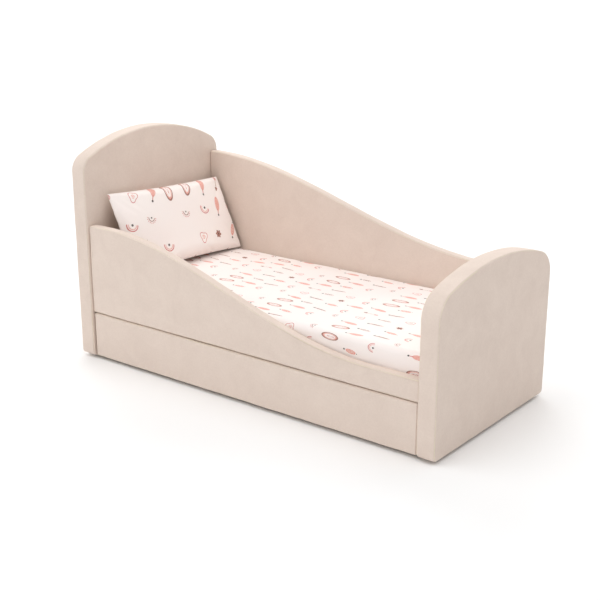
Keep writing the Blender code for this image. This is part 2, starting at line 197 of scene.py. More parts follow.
def resampled(line, count):
    """count + 1 points on the line, at equal steps of its length plus 40 mm for each radian that it turns."""
    step = np.diff(line, axis=0)
    heading = np.unwrap(np.arctan2(step[:, 1], step[:, 0]))
    turning = np.concatenate([[0], np.abs(np.diff(heading))])
    effort = np.concatenate([[0], np.cumsum(np.hypot(*step.T) + 0.040 * turning)])
    at = np.linspace(0, effort[-1], count + 1)
    return np.column_stack([np.interp(at, effort, line[:, 0]), np.interp(at, effort, line[:, 1])])


def grid_quads(index):
    """The quads of a grid of vertex numbers."""
    corners = [index[:-1, :-1], index[1:, :-1], index[1:, 1:], index[:-1, 1:]]
    return np.stack(corners, axis=-1).reshape(-1, 4)


def filled_patch(bottom, right, top, left):
    """A Coons patch: the sum of the two ruled surfaces between opposite lines, less the bilinear one."""
    nu, nv = len(bottom) - 1, len(right) - 1
    u, v = np.linspace(0, 1, nu + 1)[:, None, None], np.linspace(0, 1, nv + 1)[None, :, None]
    top, left = top[::-1], left[::-1]
    ruled = (1 - v) * bottom[:, None] + v * top[:, None] + (1 - u) * left[None] + u * right[None]
    corners = ((1 - u) * (1 - v) * bottom[0] + u * (1 - v) * bottom[-1] + u * v * top[-1]
               + (1 - u) * v * top[0])
    return ruled - corners


def distance_inside(points, loop):
    """How far each point lies from the nearest point of a closed loop."""
    parts = np.array_split(points, 8)
    return np.concatenate([np.sqrt(((part[:, None] - loop[None]) ** 2).sum(-1)).min(1) for part in parts])


def wrapped(sides, profile, spacing, swell, cap_ends=(True, True)):
    """A surface made by carrying a profile round an outline, its two ends closed by filled patches.

    The outline is four lines in the plane of the face. The profile is a list of (inset, depth) pairs:
    how far a ring of points lies inside the outline, and how far along the face's normal.
    swell(distance) is how far a patch stands proud at that distance inside its rim.
    Returns the points as (a, b, depth), the quads, and the flat size that each point unrolls to.
    """
    counts = [0, 0]
    for i, line in enumerate(sides):
        counts[i % 2] = max(counts[i % 2], int(np.ceil(lengths_along(line)[-1] / spacing)) + 6)
    lines = [resampled(line, counts[i % 2]) for i, line in enumerate(sides)]
    loop = np.vstack([line[:-1] for line in lines])
    around = np.roll(loop, -1, axis=0) - np.roll(loop, 1, axis=0)
    outward = np.column_stack([around[:, 1], -around[:, 0]]) / np.hypot(*around.T)[:, None]
    profile = np.array(profile)
    inset, depth = profile[:, 0], profile[:, 1]
    rings = loop[None] - inset[:, None, None] * outward[None]
    run = np.concatenate([[0], np.cumsum(np.hypot(*np.diff(profile, axis=0).T))])
    n, rows = len(loop), len(profile)
    height = np.repeat(depth[:, None], n, axis=1)
    points = [np.dstack([rings, height]).reshape(-1, 3)]
    unrolled = rings[-1][None] + outward[None] * (run[-1] - run)[:, None, None]
    flat = [unrolled.reshape(-1, 2)]
    index = np.arange(rows * n).reshape(rows, n)
    quads = [grid_quads(np.column_stack([index, index[:, 0]])).reshape(-1, 4)[:, ::-1]]
    nu, nv = counts
    total = rows * n
    for end, wanted in ((0, cap_ends[0]), (-1, cap_ends[1])):
        if not wanted:
            continue
        ring = np.vstack([rings[end], rings[end][:1]])
        at = np.cumsum([0, nu, nv, nu, nv])
        edges = [ring[at[k]:at[k + 1] + 1] for k in range(4)]
        patch = filled_patch(*edges)
        inner = patch[1:-1, 1:-1].reshape(-1, 2)
        proud = swell(distance_inside(inner, rings[end])) * (1 if end else -1)
        points.append(np.column_stack([inner, depth[end] + proud]))
        flat.append(inner)
        ids = np.append(index[end], index[end][0])
        grid = np.empty((nu + 1, nv + 1), int)
        grid[:, 0], grid[-1, :] = ids[at[0]:at[1] + 1], ids[at[1]:at[2] + 1]
        grid[:, -1], grid[0, :] = ids[at[2]:at[3] + 1][::-1], ids[at[3]:at[4] + 1][::-1]
        grid[1:-1, 1:-1] = total + np.arange(len(inner)).reshape(nu - 1, nv - 1)
        total += len(inner)
        quads.append(grid_quads(grid) if end else grid_quads(grid)[:, ::-1])
    return np.vstack(points), np.vstack(quads), np.vstack(flat)


def ripples(points, seed, wavelengths, height):
    """A gentle unevenness: the sum of 14 sine waves in random directions, height being its typical size."""
    random = np.random.default_rng(seed)
    total = np.zeros(len(points))
    for _ in range(14):
        way = random.normal(size=3)
        way *= 2 * pi / random.uniform(*wavelengths) / np.linalg.norm(way)
        total += np.sin(points @ way + random.uniform(0, 2 * pi))
    return height * total / sqrt(7)


def point_normals(points, quads):
    """The average of the normals of the faces round each point."""
    diagonal_a = points[quads[:, 2]] - points[quads[:, 0]]
    diagonal_b = points[quads[:, 3]] - points[quads[:, 1]]
    face = np.cross(diagonal_a, diagonal_b)
    total = np.zeros_like(points)
    for k in range(4):
        np.add.at(total, quads[:, k], face)
    return total / np.maximum(np.linalg.norm(total, axis=1), 1e-12)[:, None]


# ---------------------------------------------------------------- materials

def linear(hex_colour):
    """An sRGB hex colour as linear RGBA."""
    parts = [int(hex_colour[i:i + 2], 16) / 255 for i in (1, 3, 5)]
    return (*[p / 12.92 if p <= 0.04045 else ((p + 0.055) / 1.055) ** 2.4 for p in parts], 1.0)


def add(tree, kind, inputs=None, **settings):
    """Adds one node with its settings. An input takes a constant, a socket, or a node's first output."""
    node = tree.nodes.new("ShaderNode" + kind)
    for key, value in settings.items():
        setattr(node, key, value)
    for key, value in (inputs or {}).items():
        if isinstance(value, bpy.types.Node):
            value = value.outputs[0]
        if isinstance(value, bpy.types.NodeSocket):
            tree.links.new(value, node.inputs[key])
        else:
            node.inputs[key].default_value = value
    return node


def new_material(name, roughness, metallic=0.0, **shader_values):
    """A material with a Principled shader whose constants sit on its own sockets."""
    material = bpy.data.materials.new(name)
    material.use_nodes = True
    tree = material.node_tree
    shader = tree.nodes["Principled BSDF"]
    shader.inputs["Roughness"].default_value = roughness
    shader.inputs["Metallic"].default_value = metallic
    for key, value in shader_values.items():
        shader.inputs[key.replace("_", " ")].default_value = value
    return material, tree, shader


def set_ramp(node, positions, colours):
    """Gives the two ends of a colour ramp their places and sRGB colours."""
    for element, position, colour in zip(node.color_ramp.elements, positions, colours):
        element.position, element.color = position, linear(colour)


def velour():
    """Upholstery velour: short dense polyester pile, brushed unevenly, so matt with a faint sheen and nap."""
    material, tree, shader = new_material("beige_upholstery_velour", 0.88, Sheen_Weight=0.22,
                                          Sheen_Roughness=0.45, Specular_IOR_Level=0.25)
    shader.inputs["Sheen Tint"].default_value = linear("#FFF1E8")
    place = add(tree, "TexCoord").outputs["Object"]
    # Nap: patches about 90 mm across where the pile leans another way.
    nap = add(tree, "TexNoise", {"Vector": place, "Scale": 11.0, "Detail": 4.0, "Roughness": 0.62,
                                 "Distortion": 0.6})
    # Mottle: 8 mm clumps of pile.
    mottle = add(tree, "TexNoise", {"Vector": place, "Scale": 120.0, "Detail": 3.0, "Roughness": 0.7})
    # Pile: tufts about 1 mm across, drawn coarser than the real 0.2 mm fibres.
    pile = add(tree, "TexNoise", {"Vector": place, "Scale": 900.0, "Detail": 2.0, "Roughness": 0.6})
    nap_mix = add(tree, "Math", {0: nap, 1: 0.55}, operation="MULTIPLY")
    blend = add(tree, "Math", {0: mottle, 1: 0.45, 2: nap_mix}, operation="MULTIPLY_ADD")
    tone = add(tree, "ValToRGB", {"Fac": blend})
    set_ramp(tone, (0.34, 0.66), ("#E0CFC3", "#E8D8CC"))
    tree.links.new(tone.outputs["Color"], shader.inputs["Base Color"])
    height = add(tree, "Math", {0: pile, 1: 0.5, 2: mottle}, operation="MULTIPLY_ADD")
    bump = add(tree, "Bump", {"Height": height, "Strength": 0.35, "Distance": 0.0012})
    tree.links.new(bump.outputs["Normal"], shader.inputs["Normal"])
    return material


INKS = dict(blush="#ECA89B", rose="#CF645E", terracotta="#95533C", coral="#DB6C48", soot="#2E2323",
            taupe="#A8907F")
# Printed motifs, in millimetres, each hanging from its top. A shape is its ink, centre, radii, ring, petals,
# wave, beads, barbs and half. ring is half a line's width as a share of the radius, and 0.5 fills the shape.
FULL = 0.5
MOTIFS = {
    "drop": [("blush", (0, 12), (13, 36), FULL, 0, 0, 0, 0, 0),
             ("rose", (0, -30), (2, 14), FULL, 0, 0, 0, 0, 0),
             ("soot", (0, -44), (4.5, 5.5), FULL, 0, 0, 0, 0, 0)],
    "loop": [("terracotta", (0, -2), (21, 48), 0.10, 0, 0, 0, 0, 0),
             ("blush", (0, -2), (15, 40), 0.11, 0, 0, 0, 0, 0),
             ("rose", (0, 2), (4, 22), 0.25, 0, 0, 0, 30, 0)],
    "feather": [("coral", (0, 2), (12, 29), FULL, 0, 0, 0, 22, 0),
                ("blush", (0, 2), (11, 28), FULL / 3, 0, 0, 0, 0, 0),
                ("soot", (0, -36), (5, 5), FULL, 0, 0, 0, 0, 0),
                ("soot", (0, 36), (2.6, 2.6), FULL, 0, 0, 0, 0, 0)],
    "bunting": [("rose", (0, 0), (20, 24), 0.07, 3, -0.18, 0, 0, 0),
                ("blush", (0, 2), (9, 10), FULL, 3, -0.18, 0, 9, 0)],
    "rainbow": [("rose", (0, 6), (26, 29), 0.075, 0, 0, 0, 0, 1),
                ("blush", (0, 6), (19, 21), 0.08, 0, 0, 0, 0, 1),
                ("soot", (0, 5), (5, 5.5), FULL, 0, 0, 0, 0, 0)],
    "sunrise": [("terracotta", (0, 6), (15, 17), 0.11, 0, 0, 0, 0, 1),
                ("rose", (0, 6), (22, 25), 0.08, 0, 0, 16, 0, 1),
                ("soot", (0, 6), (3.6, 3.6), FULL, 0, 0, 0, 0, 0)],
    "flower": [("terracotta", (0, 0), (15, 16), FULL, 6, 0.20, 0, 0, 0),
               ("soot", (0, 0), (3, 3), FULL, 0, 0, 0, 0, 0)],
    "arrow": [("taupe", (0, 0), (1.7, 38), FULL, 0, 0, 0, 0, 0),
              ("terracotta", (0, -32), (7, 10), FULL, 3, -0.2, 0, 0, 0),
              ("rose", (0, 26), (8, 12), FULL, 0, 0, 0, 14, 0)],
    "seed": [("terracotta", (0, 6), (9, 30), FULL, 0, 0, 0, 26, 0),
             ("soot", (0, -32), (5.5, 6), FULL, 0, 0, 0, 0, 0)],
    "wand": [("terracotta", (0, 0), (4.5, 42), FULL, 0, 0, 0, 0, 0),
             ("soot", (0, -40), (5.5, 6), FULL, 0, 0, 0, 0, 0)],
}
# Which motif stands in each cell of the repeat, four rows of six. Two cells stay plain.
CELLS = [["bunting", "drop", "loop", "loop", "drop", "arrow"],
         ["seed", "wand", "seed", "drop", "feather", "wand"],
         ["flower", "feather", "wand", "rainbow", "none", "bunting"],
         ["rainbow", "drop", "rainbow", "sunrise", "none", "sunrise"]]
CELL_WIDTH, CELL_HEIGHT = 100.0, 116.0
# How far a motif may stand from the middle of its cell, in millimetres, and turn, in radians, in all.
STRAY, TURN = (22.0, 14.0, 0.0), 0.36
# The sheet's print is smaller and runs towards the head. The pillow's is shifted and tilted so that a row of
# drops and loops hangs from its top seam. Then the two grounds, from dark to light.
SHEET_PRINT_TURN, SHEET_PRINT_SCALE = radians(90), (1.30, 1.55, 1)
PILLOW_PRINT_SHIFT, PILLOW_PRINT_TILT = (0.278, -0.082, 0), radians(17)
SHEET_GROUND, PILLOW_GROUND = ("#FBF0EC", "#FEF6F2"), ("#FFF3EE", "#FFF8F4")


def new_group(name, inputs, outputs):
    """An empty node group with its sockets. Returns the tree, its input node and its output node."""
    tree = bpy.data.node_groups.new(name, "ShaderNodeTree")
    for socket, kind in inputs:
        tree.interface.new_socket(socket, in_out="INPUT", socket_type="NodeSocket" + kind)
    for socket, kind in outputs:
        tree.interface.new_socket(socket, in_out="OUTPUT", socket_type="NodeSocket" + kind)
    return tree, tree.nodes.new("NodeGroupInput"), tree.nodes.new("NodeGroupOutput")


def motif_shape():
    """A soft-edged ellipse, ring, flower, dotted ring or barbed leaf, as a mask from 0 to 1.

    With q the place in units of the radii, its size is |q| plus wave times the cosine of petals times its
    angle, and the mask is where that size is within ring of 1 less ring.
    """
    numbers = ["Ring", "Petals", "Wave", "Beads", "Barbs", "Half"]
    sockets = [(n, "Vector") for n in ("Vector", "Centre", "Radii")] + [(n, "Float") for n in numbers]
    tree, given, result = new_group("motif_shape", sockets, [("Mask", "Float")])
    take = given.outputs
    offset = add(tree, "VectorMath", {0: take["Vector"], 1: take["Centre"]}, operation="SUBTRACT")
    q = add(tree, "VectorMath", {0: offset, 1: take["Radii"]}, operation="DIVIDE")
    parts = add(tree, "SeparateXYZ", {0: q}).outputs
    size = add(tree, "VectorMath", {0: q}, operation="LENGTH").outputs["Value"]
    angle = add(tree, "Math", {0: parts["Y"], 1: parts["X"]}, operation="ARCTAN2")
    turned = add(tree, "Math", {0: angle, 1: pi / 2}, operation="ADD")
    petal_angle = add(tree, "Math", {0: turned, 1: take["Petals"]}, operation="MULTIPLY")
    petal = add(tree, "Math", {0: petal_angle}, operation="COSINE")
    waved = add(tree, "Math", {0: petal, 1: take["Wave"], 2: size}, operation="MULTIPLY_ADD")
    middle = add(tree, "Math", {0: 1.0, 1: take["Ring"]}, operation="SUBTRACT")
    off = add(tree, "Math", {0: waved, 1: middle}, operation="SUBTRACT")
    off = add(tree, "Math", {0: off}, operation="ABSOLUTE")
    inside = add(tree, "Math", {0: take["Ring"], 1: off}, operation="SUBTRACT")
    mask = add(tree, "Math", {0: inside, 1: 14.0, 2: 0.5}, operation="MULTIPLY_ADD", use_clamp=True)
    bead_angle = add(tree, "Math", {0: angle, 1: take["Beads"]}, operation="MULTIPLY")
    bead = add(tree, "Math", {0: bead_angle}, operation="COSINE")
    bead = add(tree, "Math", {0: bead, 1: 3.0, 2: 0.5}, operation="MULTIPLY_ADD", use_clamp=True)
    aside = add(tree, "Math", {0: parts["X"]}, operation="ABSOLUTE")
    slant = add(tree, "Math", {0: aside, 1: 0.6, 2: parts["Y"]}, operation="MULTIPLY_ADD")
    barb = add(tree, "Math", {0: slant, 1: take["Barbs"]}, operation="MULTIPLY")
    barb = add(tree, "Math", {0: barb}, operation="COSINE")
    barb = add(tree, "Math", {0: barb, 1: 2.0, 2: 0.8}, operation="MULTIPLY_ADD", use_clamp=True)
    above = add(tree, "Math", {0: parts["Y"], 1: take["Half"]}, operation="MULTIPLY")
    kept = add(tree, "Math", {0: above, 1: -12.0, 2: 1.0}, operation="MULTIPLY_ADD", use_clamp=True)
    mask = add(tree, "Math", {0: mask, 1: bead}, operation="MULTIPLY")
    mask = add(tree, "Math", {0: mask, 1: barb}, operation="MULTIPLY")
    mask = add(tree, "Math", {0: mask, 1: kept}, operation="MULTIPLY")
    tree.links.new(mask.outputs[0], result.inputs["Mask"])
    return tree


def nursery_print():
    """The repeat of the print: a brick lattice of cells, each with one motif, a little moved and turned."""
    shape = motif_shape()
    sockets = [("Vector", "Vector"), ("Cloth", "Color"), ("Tilt", "Float")]
    tree, given, result = new_group("nursery_print", sockets, [("Color", "Color")])
    per_metre = (1000 / CELL_WIDTH, 1000 / CELL_HEIGHT, 0)
    cells = add(tree, "VectorMath", {0: given.outputs["Vector"], 1: per_metre}, operation="MULTIPLY")
    parts = add(tree, "SeparateXYZ", {0: cells}).outputs
    row = add(tree, "Math", {0: parts["Y"]}, operation="FLOOR")
    odd = add(tree, "Math", {0: row, 1: 2.0}, operation="FLOORED_MODULO")
    across = add(tree, "Math", {0: odd, 1: 0.5, 2: parts["X"]}, operation="MULTIPLY_ADD")
    column = add(tree, "Math", {0: across}, operation="FLOOR")
    across_repeat, up_repeat = float(len(CELLS[0])), float(len(CELLS))
    band = add(tree, "Math", {0: row, 1: up_repeat}, operation="FLOORED_MODULO")
    drift = add(tree, "Math", {0: row, 1: band}, operation="SUBTRACT")
    order = add(tree, "Math", {0: column, 1: drift}, operation="ADD")
    order = add(tree, "Math", {0: order, 1: across_repeat}, operation="FLOORED_MODULO")
    kind = add(tree, "Math", {0: band, 1: across_repeat, 2: order}, operation="MULTIPLY_ADD")
    cell = add(tree, "CombineXYZ", {0: column, 1: row})
    chance = add(tree, "TexWhiteNoise", {"Vector": cell}, noise_dimensions="2D").outputs
    place = add(tree, "CombineXYZ", {0: across, 1: parts["Y"]})
    local = add(tree, "VectorMath", {0: place, 1: cell}, operation="SUBTRACT")
    local = add(tree, "VectorMath", {0: local, 1: (0.5, 0.5, 0)}, operation="SUBTRACT")
    local = add(tree, "VectorMath", {0: local, 1: (CELL_WIDTH, CELL_HEIGHT, 0)}, operation="MULTIPLY")
    shift = add(tree, "VectorMath", {0: chance["Color"], 1: (0.5, 0.5, 0.5)}, operation="SUBTRACT")
    shift = add(tree, "VectorMath", {0: shift, 1: STRAY}, operation="MULTIPLY")
    moved = add(tree, "VectorMath", {0: local, 1: shift}, operation="SUBTRACT")
    tilt = add(tree, "Math", {0: chance["Value"], 1: TURN, 2: -TURN / 2}, operation="MULTIPLY_ADD")
    tilt = add(tree, "Math", {0: tilt, 1: given.outputs["Tilt"]}, operation="ADD")
    turned = add(tree, "VectorRotate", {"Vector": moved, "Angle": tilt}, rotation_type="Z_AXIS")
    # Watercolour: the ink's strength varies from 0.7 to 1, in patches of about 6 mm.
    wander = add(tree, "TexNoise", {"Vector": given.outputs["Vector"], "Scale": 160.0, "Detail": 2.0})
    wash = add(tree, "MapRange", {"Value": wander, "From Min": 0.3, "From Max": 0.6, "To Min": 0.7,
                                  "To Max": 1.0})
    colour = given.outputs["Cloth"]
    for name, shapes in MOTIFS.items():
        gate = None
        for number in [k for k, motif in enumerate(sum(CELLS, [])) if motif == name]:
            here = add(tree, "Math", {0: kind, 1: float(number), 2: 0.5}, operation="COMPARE")
            gate = add(tree, "Math", {0: here, 1: gate}, operation="ADD") if gate else here
        gate = add(tree, "Math", {0: gate, 1: wash}, operation="MULTIPLY")
        for ink, centre, radii, ring, petals, wave, beads, barbs, half in shapes:
            given_to = {"Vector": turned, "Centre": (*centre, 0), "Radii": (*radii, 1), "Ring": ring,
                        "Petals": petals, "Wave": wave, "Beads": beads, "Barbs": barbs, "Half": half}
            mask = add(tree, "Group", given_to, node_tree=shape)
            mask = add(tree, "Math", {0: mask, 1: gate}, operation="MULTIPLY")
            mixed = add(tree, "Mix", {0: mask, 6: colour, 7: linear(INKS[ink])}, data_type="RGBA")
            colour = mixed.outputs[2]
    tree.links.new(colour, result.inputs["Color"])
    return tree


def printed_cotton(pattern, name, turn, scale, shift, tilt, ground_colours):
    """Percale cotton: a fine plain weave, matt, printed with a watercolour nursery repeat."""
    material, tree, shader = new_material(name, 0.82, Sheen_Weight=0.08, Specular_IOR_Level=0.3)
    cloth = add(tree, "UVMap", uv_map="cloth")
    turned = add(tree, "Mapping", {"Vector": cloth, "Rotation": (0, 0, turn), "Scale": scale,
                                   "Location": shift})
    tint = add(tree, "TexNoise", {"Vector": cloth, "Scale": 5.0, "Detail": 2.0})
    ground = add(tree, "ValToRGB", {"Fac": tint})
    set_ramp(ground, (0.0, 1.0), ground_colours)
    dyed = add(tree, "Group", {"Vector": turned, "Cloth": ground.outputs["Color"], "Tilt": tilt},
               node_tree=pattern)
    tree.links.new(dyed.outputs["Color"], shader.inputs["Base Color"])
    # Threads drawn 1.2 mm apart, three times the real spacing, so that the weave shows close up.
    warp = add(tree, "TexWave", {"Vector": cloth, "Scale": 260.0}, bands_direction="X")
    weft = add(tree, "TexWave", {"Vector": cloth, "Scale": 260.0}, bands_direction="Y")
    weave = add(tree, "Math", {0: warp, 1: weft}, operation="MAXIMUM")
    bump = add(tree, "Bump", {"Height": weave, "Strength": 0.12, "Distance": 0.0004})
    tree.links.new(bump.outputs["Normal"], shader.inputs["Normal"])
    return material


# ---------------------------------------------------------------- upholstery

def padded_profile(thickness):
    """Across a panel from its back face to its front: a rounded edge, the band between, and the other edge.

    Each edge is a quarter circle whose radius dips where the seam is, as a bell curve about its middle.
    """
    angle = np.radians([90, 78, 66, 56, 50, 45, 40, 34, 24, 12, 0])
    radius = EDGE - SEAM_DEPTH * np.exp(-((angle - pi / 4) / SEAM_SPREAD) ** 2)
    inset = EDGE - radius * np.cos(angle)
    depth = thickness / 2 - EDGE + radius * np.sin(angle)
    half_band = thickness / 2 - EDGE
    band = np.linspace(half_band, -half_band, 9)[1:-1]
    swell = -BAND_SWELL * (1 - (band / half_band) ** 2)
    front = list(zip(inset, depth))
    back = [(i, -d) for i, d in reversed(front)]
    return (front + list(zip(swell, band)) + back)[::-1]


def upholstered(name, sides, low, high, axis, swells, seed, body, material):
    """A velour panel over foam. axis is the way its faces look, 'X' or 'Y', between low and high along it."""
    thickness, middle = high - low, (high + low) / 2
    reach = lambda d: 1 - np.exp(-(d / SWELL_REACH) ** 2)
    points, quads, _ = wrapped(sides, padded_profile(thickness), PANEL_SPACING, reach)
    share = np.maximum(np.abs(points[:, 2]) - thickness / 2, 0)
    points[:, 2] = np.clip(points[:, 2], -thickness / 2, thickness / 2)
    points[:, 2] += np.where(points[:, 2] > 0, swells[1] * share, -swells[0] * share)
    a, b, depth = points.T
    if axis == "X":
        placed = np.column_stack([middle + depth, a, b])
    else:
        placed = np.column_stack([a, middle + depth, b])
        quads = quads[:, ::-1]
    normal = point_normals(placed, quads)
    uneven = ripples(placed, seed, (0.07, 0.30), 0.00030) + ripples(placed, seed + 1, (0.02, 0.05), 0.00010)
    placed += normal * uneven[:, None]
    panel = new_piece(name, placed, quads, body, material)
    return panel


def arched_sides(box_low, box_high, arch, shoulder):
    """The four lines round an arched board in (Y, Z): a wide arc, two shoulder arcs and straight sides.

    The shoulder circle touches the side and lies inside the arch circle, so both meet smoothly.
    """
    half, bottom, top = box_high.y, box_low.z, box_high.z
    arch_z = top - arch
    shoulder_y = half - shoulder
    meeting = asin(shoulder_y / (arch - shoulder))
    shoulder_z = arch_z + sqrt((arch - shoulder) ** 2 - shoulder_y ** 2)
    end = pi / 2 - meeting
    side = straight((half, bottom), (half, shoulder_z))
    lower = arc((shoulder_y, shoulder_z), shoulder, 0, end / 2)
    upper = arc((shoulder_y, shoulder_z), shoulder, end / 2, end)
    crown = arc((0, arch_z), arch, end, pi - end, 120)
    mirror = lambda line: line[::-1] * (-1, 1)
    right = np.vstack([side, lower[1:]])
    over = np.vstack([upper, crown[1:-1], mirror(upper)])
    base = straight((-half, bottom), (half, bottom))
    return [base, right, over, mirror(right)]


def swept_height(sweep, x):
    """Height of a rail's top edge: half a cosine wave from its crest to its level stretch."""
    phase = np.minimum((x - sweep["crest_x"]) / (sweep["level_x"] - sweep["crest_x"]), 1)
    return sweep["level"] + (sweep["crest"] - sweep["level"]) * (1 + np.cos(pi * phase)) / 2


def swept_sides(box_low, box_high, sweep):
    """The four lines round a swept rail in (X, Z)."""
    x = np.linspace(box_high.x, box_low.x, 400)
    top = np.column_stack([x, swept_height(sweep, x)])
    base = straight((box_low.x, box_low.z), (box_high.x, box_low.z), 200)
    return [base, straight(base[-1], top[0]), top, straight(top[-1], base[0])]


def box_sides(box_low, box_high):
    """The four lines round a rectangular panel in (X, Z)."""
    corners = [(box_low.x, box_low.z), (box_high.x, box_low.z),
               (box_high.x, box_high.z), (box_low.x, box_high.z)]
    return [straight(corners[i], corners[(i + 1) % 4], 100) for i in range(4)]


def make_upholstery(material):
    """The five velour panels, each in place of its plain cover. A face that looks outwards swells the more."""
    for name, arch, shoulder, side in (("headboard", HEADBOARD_ARCH, HEADBOARD_SHOULDER, -1),
                                       ("footboard", FOOTBOARD_ARCH, FOOTBOARD_SHOULDER, 1)):
        low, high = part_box(name + "_cover")
        sides = rounded_sides(arched_sides(low, high, arch, shoulder), BOTTOM_CORNER)
        swells = (FACE_SWELL, FACE_SWELL_INSIDE) if side < 0 else (FACE_SWELL_INSIDE, FACE_SWELL)
        panel = upholstered(name + "_velour", sides, low.x, high.x, "X", swells, 11, "bed_frame", material)
        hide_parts(name + "_cover")
    for name, sweep, side in (("front_rail", FRONT_SWEEP, -1), ("rear_rail", REAR_SWEEP, 1)):
        low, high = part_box(name + "_cover")
        sides = rounded_sides(swept_sides(low, high, sweep), RAIL_CORNER)
        swells = (FACE_SWELL, FACE_SWELL_INSIDE) if side < 0 else (FACE_SWELL_INSIDE, FACE_SWELL)
        panel = upholstered(name + "_velour", sides, low.y, high.y, "Y", swells, 23, "bed_frame", material)
        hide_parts(name + "_cover")
    low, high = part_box("drawer_front_cover")
    sides = rounded_sides(box_sides(low, high), RAIL_CORNER)
    panel = upholstered("drawer_front_velour", sides, low.y, high.y, "Y", (FACE_SWELL, 0.0), 37, "drawer",
                        material)
    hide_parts("drawer_front_cover")


# ---------------------------------------------------------------- bedding

def make_fitted_sheet(material):
    """Stretched over the mattress: a rounded edge carried round a rounded rectangle, up from the elastic hem.

    Its relief is a sum of gentle waves, a fan of sine folds at each corner that dies away exponentially, and
    sine gathers at the hem.
    """
    low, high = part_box("fitted_sheet")
    half_x, half_y = high.x, high.y
    corners = [(-half_x, -half_y), (half_x, -half_y), (half_x, half_y), (-half_x, half_y)]
    edges = [straight(corners[i], corners[(i + 1) % 4], 200) for i in range(4)]
    sides = rounded_sides(edges, SHEET_CORNER)
    r = SHEET_ROUNDING
    under = np.radians(np.linspace(-80, 0, 7))
    over = np.radians(np.linspace(0, 90, 9))
    profile = [(r - r * cos(t), low.z + r + r * sin(t)) for t in under]
    profile += [(0.0, z) for z in np.linspace(low.z + r, high.z - r, 9)[1:-1]]
    profile += [(r - r * cos(t), high.z - r + r * sin(t)) for t in over]
    points, quads, flat = wrapped(sides, profile, SHEET_SPACING, lambda d: 0 * d, cap_ends=(False, True))
    normal = point_normals(points, quads)
    lie = ripples(points, 51, (0.12, 0.5), 0.0007) + ripples(points, 52, (0.04, 0.12), 0.00022)
    # Pulls: folds that fan out from each corner and die away within a hand's width.
    for sx in (-1, 1):
        for sy in (-1, 1):
            dx, dy = points[:, 0] - sx * (half_x - r), points[:, 1] - sy * (half_y - r)
            away = np.hypot(dx, dy)
            fan = np.sin(PULL_COUNT * np.arctan2(dy * sy, dx * sx))
            fan = fan * np.exp(-away / PULL_REACH) * np.minimum(away / PULL_START, 1)
            lie += PULL_HEIGHT * fan
    hem = np.clip((low.z + HEM_REACH - points[:, 2]) / HEM_REACH, 0, 1)
    around = points[:, 0] + points[:, 1]
    lie += HEM_DEPTH * hem * np.sin(around * 2 * pi / HEM_GATHER + 2 * np.sin(around * 17))
    points += normal * np.clip(lie, SHEET_DIP, SHEET_RISE)[:, None]
    points[:, 0] = np.clip(points[:, 0], -half_x - SHEET_END_ROOM, half_x + SHEET_END_ROOM)
    sheet = new_piece("fitted_sheet_cloth", points, quads, "bed_frame", material, uv=flat)
    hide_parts("fitted_sheet")
    return sheet


def make_mattress(material):
    """A quilted block: a rounded edge carried round a rounded rectangle, with stitched diamonds 90 mm across.

    Each stitch line is a valley shaped as a bell curve of the sine of the distance along the other diagonal.
    """
    low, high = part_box("mattress")
    corners = [(low.x, low.y), (high.x, low.y), (high.x, high.y), (low.x, high.y)]
    inner = SHEET_CORNER - SHEET_CLEARANCE
    edges = [straight(corners[i], corners[(i + 1) % 4], 200) for i in range(4)]
    sides = rounded_sides(edges, inner)
    r = SHEET_ROUNDING - SHEET_CLEARANCE
    bottom = low.z + SHEET_CLEARANCE
    profile = [(r - r * cos(t), bottom + r + r * sin(t)) for t in np.radians(np.linspace(-90, 0, 8))]
    profile += [(0.0, z) for z in np.linspace(bottom + r, high.z - r, 9)[1:-1]]
    profile += [(r - r * cos(t), high.z - r + r * sin(t)) for t in np.radians(np.linspace(0, 90, 8))]
    points, quads, _ = wrapped(sides, profile, MATTRESS_SPACING, lambda d: 0 * d)
    x, y = points[:, 0], points[:, 1]
    stitched = [np.exp(-(np.sin(pi * (x + way * y) / QUILT_STEP) / QUILT_SPREAD) ** 2) for way in (-1, 1)]
    set_in = MATTRESS_SET_IN + QUILT_DEPTH * np.maximum(*stitched)
    points -= point_normals(points, quads) * set_in[:, None]
    mattress = new_piece("quilted_mattress", points, quads, "bed_frame", material)
    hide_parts("mattress")


def pillow_blank():
    """Two pieces of cloth sewn together all round: flat grids that share their rim, a little parted inside.

    The parting falls to nothing at the rim as the root of (1 - |u|^2.5)(1 - |v|^2.5), u and v from -1 to 1.
    """
    nu, nv = int(PILLOW_WIDTH / PILLOW_STEP), int(PILLOW_HEIGHT / PILLOW_STEP)
    u, v = np.meshgrid(np.linspace(-1, 1, nu + 1), np.linspace(-1, 1, nv + 1), indexing="ij")
    crown = np.sqrt((1 - np.abs(u) ** 2.5) * (1 - np.abs(v) ** 2.5))
    x, y = u * PILLOW_WIDTH / 2, v * PILLOW_HEIGHT / 2
    face = np.dstack([x, y, PILLOW_PARTING * crown]).reshape(-1, 3)
    index = np.arange(len(face)).reshape(nu + 1, nv + 1)
    inner = index[1:-1, 1:-1].ravel()
    back = index.copy()
    back[1:-1, 1:-1] = len(face) + np.arange(len(inner)).reshape(nu - 1, nv - 1)
    points = np.vstack([face, face[inner] * (1, 1, -1)])
    quads = np.vstack([grid_quads(index), grid_quads(back)[:, ::-1]])
    return points, quads, points[:, :2].copy()


